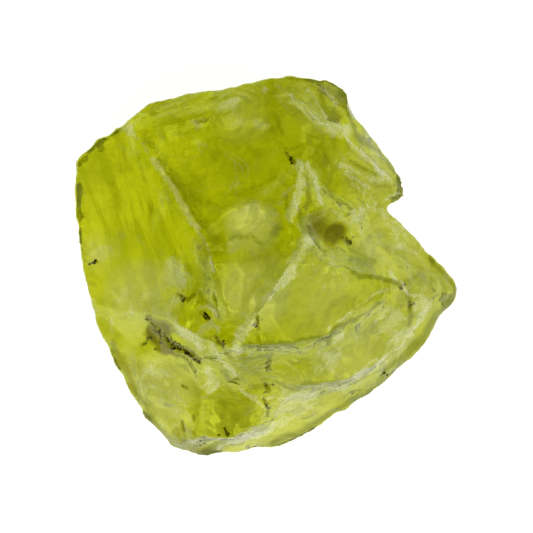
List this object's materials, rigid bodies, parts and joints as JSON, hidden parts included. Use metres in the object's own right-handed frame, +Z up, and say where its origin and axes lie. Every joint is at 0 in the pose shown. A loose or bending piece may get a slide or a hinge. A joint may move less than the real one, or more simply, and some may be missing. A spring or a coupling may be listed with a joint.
{
  "type": "rough peridot crystal",
  "caption": "Loose piece of clear olive-green rough peridot with broken, ridged and hollowed faces, lying on one flat face.",
  "frame": {"origin": "middle of the stone's footprint box, in the plane that it rests on", "axes": "+Z up, away from the resting face; +X to the picture's right and +Y to the picture's top, as seen from above"},
  "size_m": [0.0138, 0.0138, 0.0089],
  "materials": {
    "clear_olive_peridot": "clear yellow-olive stone, glassy on its fracture faces, finely frosted along chips and ridges"
  },
  "bodies": {
    "root": {"peridot_crystal": "clear_olive_peridot"}
  },
  "joints": []
}
